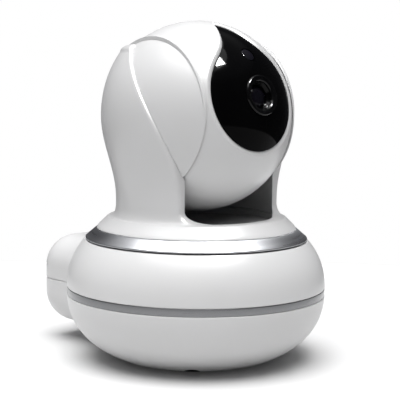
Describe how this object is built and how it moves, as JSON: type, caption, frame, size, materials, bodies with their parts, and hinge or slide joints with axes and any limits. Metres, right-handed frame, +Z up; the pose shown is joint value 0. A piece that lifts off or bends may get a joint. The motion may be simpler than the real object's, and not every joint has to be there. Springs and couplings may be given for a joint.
{
  "type": "baby monitor camera",
  "caption": "Pan-and-tilt baby monitor camera: a ball head with a black lens panel tilts in a white hood-like yoke that pans on a rounded base.",
  "frame": {"origin": "on the pan axis, at the centre of the foot pad's flat underside, in the plane of the table", "axes": "+Z up along the pan axis; the lens faces -Y with the pan joint at 0; +X is the camera's own left-hand side seen from behind the camera looking forward, so the ports at the back face +Y"},
  "size_m": [0.1, 0.12, 0.1295],
  "materials": {
    "white_shell": "glossy white ABS",
    "silver_trim": "satin silver-coated plastic",
    "rubber": "matte",
    "black_gloss": "polished black acrylic",
    "grey_plastic": "fine texture",
    "black_plastic": "moulded",
    "circuit_board": "solder mask",
    "steel": "plated",
    "nylon": "moulded",
    "lens_glass": "coated"
  },
  "bodies": {
    "base": {"base_lower_shell": "white_shell", "base_screw_1": "steel", "base_screw_2": "steel", "base_screw_3": "steel", "base_screw_4": "steel", "base_trim_ring": "silver_trim", "base_upper_shell": "white_shell", "dc_jack": "black_plastic", "ethernet_port": "black_plastic", "foot_pad": "rubber", "main_board": "circuit_board", "pan_bearing": "steel", "pan_motor": "steel", "port_bezel": "grey_plastic", "processor_shield": "steel", "reset_switch": "black_plastic", "speaker": "black_plastic", "wifi_antenna": "circuit_board", "wifi_module": "steel"},
    "yoke": {"turntable_disc": "white_shell", "turntable_trim_ring": "silver_trim", "yoke_shell": "white_shell", "left_ear_cap": "white_shell", "right_ear_cap": "white_shell", "pan_gear": "nylon", "pan_retaining_clip": "steel", "tilt_shaft": "steel", "left_pivot_pin": "steel"},
    "head": {"head_front_shell": "white_shell", "head_rear_shell": "white_shell", "face_panel": "black_gloss", "lens_bezel": "black_gloss", "lens_barrel": "black_plastic", "lens_glass": "lens_glass", "lens_holder": "black_plastic", "light_sensor_window": "lens_glass", "light_sensor": "black_plastic", "ir_board": "circuit_board", "image_sensor_board": "circuit_board", "image_sensor": "lens_glass", "microphone": "steel", "tilt_motor": "steel", "right_tilt_bush": "nylon", "left_tilt_bush": "nylon", "ir_led_1": "lens_glass", "ir_led_2": "lens_glass", "ir_led_3": "lens_glass", "ir_led_4": "lens_glass", "ir_led_5": "lens_glass", "ir_led_6": "lens_glass", "ir_led_7": "lens_glass", "ir_led_8": "lens_glass"},
    "pinion": {"pan_pinion": "nylon"},
    "button": {"reset_button": "grey_plastic"}
  },
  "joints": [
    {"name": "pan", "type": "hinge", "parent": "base", "child": "yoke", "pos_m": [0, 0, 0.047], "axis": [0, 0, 1], "range_deg": [-177.5, 177.5]},
    {"name": "tilt", "type": "hinge", "parent": "yoke", "child": "head", "pos_m": [0, 0, 0.0934], "axis": [-1, 0, 0], "range_deg": [-35, 75]},
    {"name": "pan_pinion_spin", "type": "hinge", "parent": "base", "child": "pinion", "pos_m": [0, -0.0232, 0.038], "axis": [0, 0, 1], "range_deg": [-640, 640]},
    {"name": "reset_button_press", "type": "slide", "parent": "base", "child": "button", "axis": [0, -1, 0], "range_m": [0, 0.0006], "stiffness_N_per_m": 1500}
  ],
  "couplings": [
    {"joint": "pan_pinion_spin", "follows": "pan", "ratio": -3.6}
  ]
}
